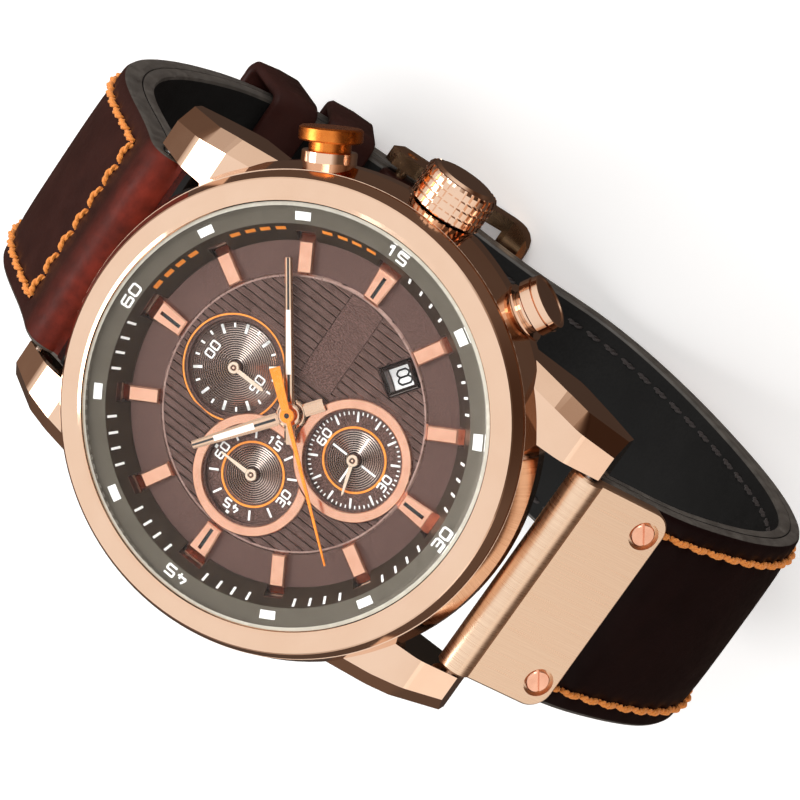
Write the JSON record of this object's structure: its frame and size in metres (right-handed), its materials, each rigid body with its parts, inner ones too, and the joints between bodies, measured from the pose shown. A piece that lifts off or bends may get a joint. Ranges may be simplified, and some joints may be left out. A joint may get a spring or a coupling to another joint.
{
  "type": "chronograph wristwatch",
  "caption": "Round quartz chronograph wristwatch with three sub-dials, a date window, crown, push-pieces and a buckled leather strap.",
  "frame": {"origin": "centre of the case back's outer face", "axes": "+Z out of the dial, +X to 3 o'clock along the crown, +Y to 12 o'clock; the strap loop hangs below"},
  "size_m": [0.0479, 0.0768, 0.0634],
  "materials": {
    "rose_gold": "rose-gold plated steel, polished, with a brushed end plate",
    "dark_gold": "darker warm gold plating, polished",
    "copper": "copper-rose plated brass, faceted",
    "orange_anodised": "orange anodised, glossy",
    "orange_lacquer": "orange lacquer",
    "steel": "brushed stainless steel",
    "spring_steel": "drawn wire",
    "soft_iron": "plain soft iron plate",
    "brass": "lacquered brass",
    "nylon": "moulded nylon",
    "magnet": "bonded magnet with a moulded pinion",
    "copper_wire": "varnished winding wire",
    "board": "solder-masked board",
    "crystal": "mineral crystal",
    "gasket_rubber": "moulded rubber",
    "dial_brown": "brown metallic dial with a ribbed middle",
    "chapter_olive": "dark olive-grey ring with white marks",
    "date_white": "white date disc",
    "brown_leather": "glossy dark brown leather with orange stitching",
    "black_lining": "soft black lining leather"
  },
  "bodies": {
    "case": {"case_middle": "rose_gold", "bezel": "rose_gold", "crystal": "crystal", "crystal_gasket": "gasket_rubber", "case_back": "steel", "case_back_gasket": "gasket_rubber", "chapter_ring": "chapter_olive", "dial": "dial_brown", "hour_markers": "copper", "sub_dial_rings": "copper", "date_window_frame": "steel", "main_plate": "brass", "train_bridge": "brass", "bridge_screws": "steel", "movement_holder": "nylon", "battery": "steel", "battery_clamp": "steel", "circuit_board": "board", "stator": "soft_iron", "coil": "copper_wire", "crown_tube": "steel", "upper_push_collar": "rose_gold", "lower_push_collar": "rose_gold", "upper_push_spring": "spring_steel", "lower_push_spring": "spring_steel", "spring_bar_12": "steel", "spring_bar_6": "steel", "end_plate": "rose_gold", "end_plate_screws": "copper", "strap_short_leather": "brown_leather", "strap_short_lining": "black_lining", "strap_long_leather": "brown_leather", "strap_long_lining": "black_lining", "fixed_keeper": "brown_leather"},
    "minute": {"minute_hand": "copper", "cannon_pinion": "brass"},
    "hour": {"hour_hand": "copper", "hour_wheel": "brass"},
    "minute_wheel": {"minute_wheel": "brass"},
    "small_seconds": {"small_seconds_hand": "copper", "seconds_wheel": "brass"},
    "step_idler": {"step_idler_wheel": "nylon"},
    "rotor": {"rotor": "magnet"},
    "chrono_seconds": {"chrono_seconds_hand": "orange_lacquer", "chrono_seconds_wheel": "brass"},
    "counter_idler": {"counter_idler_wheel": "brass"},
    "minute_counter": {"minute_counter_hand": "copper", "minute_counter_wheel": "brass"},
    "split_seconds": {"split_hand": "copper", "split_seconds_wheel": "brass"},
    "date_disc": {"date_disc": "date_white"},
    "crown_gasket": {"crown_gasket": "gasket_rubber"},
    "crown": {"crown": "rose_gold", "winding_stem": "steel"},
    "upper_push_piece": {"upper_push_piece": "orange_anodised"},
    "lower_push_piece": {"lower_push_piece": "rose_gold"},
    "sliding_keeper": {"sliding_keeper": "brown_leather"},
    "buckle": {"buckle_frame": "dark_gold", "buckle_hinge_bar": "dark_gold"},
    "tongue": {"buckle_tongue": "dark_gold"}
  },
  "joints": [
    {"name": "minute_turn", "type": "hinge", "parent": "case", "child": "minute", "pos_m": [0, 0, 0.007], "axis": [0, 0, 1], "continuous": true},
    {"name": "hour_turn", "type": "hinge", "parent": "case", "child": "hour", "pos_m": [0, 0, 0.007], "axis": [0, 0, 1], "continuous": true},
    {"name": "minute_wheel_turn", "type": "hinge", "parent": "case", "child": "minute_wheel", "pos_m": [0.00226, 0.00226, 0.007], "axis": [0, 0, 1], "continuous": true},
    {"name": "small_seconds_turn", "type": "hinge", "parent": "case", "child": "small_seconds", "pos_m": [0, -0.0068, 0.0044], "axis": [0, 0, 1], "continuous": true},
    {"name": "step_idler_turn", "type": "hinge", "parent": "case", "child": "step_idler", "pos_m": [0.00338, -0.00803, 0.004], "axis": [0, 0, 1], "continuous": true},
    {"name": "rotor_turn", "type": "hinge", "parent": "case", "child": "rotor", "pos_m": [0.00614, -0.0061, 0.0035], "axis": [0, 0, 1], "continuous": true},
    {"name": "chrono_seconds_turn", "type": "hinge", "parent": "case", "child": "chrono_seconds", "pos_m": [0, 0, 0.0044], "axis": [0, 0, 1], "continuous": true},
    {"name": "counter_idler_turn", "type": "hinge", "parent": "case", "child": "counter_idler", "pos_m": [-0.0033, 0.00083, 0.004], "axis": [0, 0, 1], "continuous": true},
    {"name": "minute_counter_turn", "type": "hinge", "parent": "case", "child": "minute_counter", "pos_m": [-0.0068, 0, 0.0044], "axis": [0, 0, 1], "continuous": true},
    {"name": "split_seconds_turn", "type": "hinge", "parent": "case", "child": "split_seconds", "pos_m": [0, 0.0068, 0.0044], "axis": [0, 0, 1], "continuous": true},
    {"name": "date_disc_turn", "type": "hinge", "parent": "case", "child": "date_disc", "pos_m": [0, 0, 0.0078], "axis": [0, 0, 1], "continuous": true},
    {"name": "crown_pull", "type": "slide", "parent": "case", "child": "crown_gasket", "axis": [1, 0, 0], "range_m": [0, 0.001]},
    {"name": "crown_turn", "type": "hinge", "parent": "crown_gasket", "child": "crown", "pos_m": [0, 0, 0.0058], "axis": [1, 0, 0], "continuous": true},
    {"name": "upper_push", "type": "slide", "parent": "case", "child": "upper_push_piece", "axis": [-0.866, -0.5, 0], "range_m": [0, 0.0005], "stiffness_N_per_m": 1500, "springref_m": -0.001, "deforming": ["upper_push_spring"]},
    {"name": "lower_push", "type": "slide", "parent": "case", "child": "lower_push_piece", "axis": [-0.866, 0.5, 0], "range_m": [0, 0.0005], "stiffness_N_per_m": 1500, "springref_m": -0.001, "deforming": ["lower_push_spring"]},
    {"name": "keeper_slide", "type": "hinge", "parent": "case", "child": "sliding_keeper", "pos_m": [0, 0.0149, -0.0254], "axis": [1, 0, 0], "range_deg": [-1.5, 7]},
    {"name": "buckle_swing", "type": "hinge", "parent": "case", "child": "buckle", "pos_m": [0, 0.01695, -0.04478], "axis": [1, 0, 0], "range_deg": [0, 8]},
    {"name": "tongue_swing", "type": "hinge", "parent": "buckle", "child": "tongue", "pos_m": [0, 0.01695, -0.04478], "axis": [1, 0, 0], "range_deg": [0, 6]}
  ],
  "couplings": [
    {"joint": "hour_turn", "follows": "minute_turn", "ratio": 0.083333},
    {"joint": "minute_wheel_turn", "follows": "minute_turn", "ratio": -0.33333},
    {"joint": "step_idler_turn", "follows": "small_seconds_turn", "ratio": -5},
    {"joint": "rotor_turn", "follows": "small_seconds_turn", "ratio": 30},
    {"joint": "counter_idler_turn", "follows": "chrono_seconds_turn", "ratio": -0.13333},
    {"joint": "minute_counter_turn", "follows": "chrono_seconds_turn", "ratio": 0.016667}
  ]
}
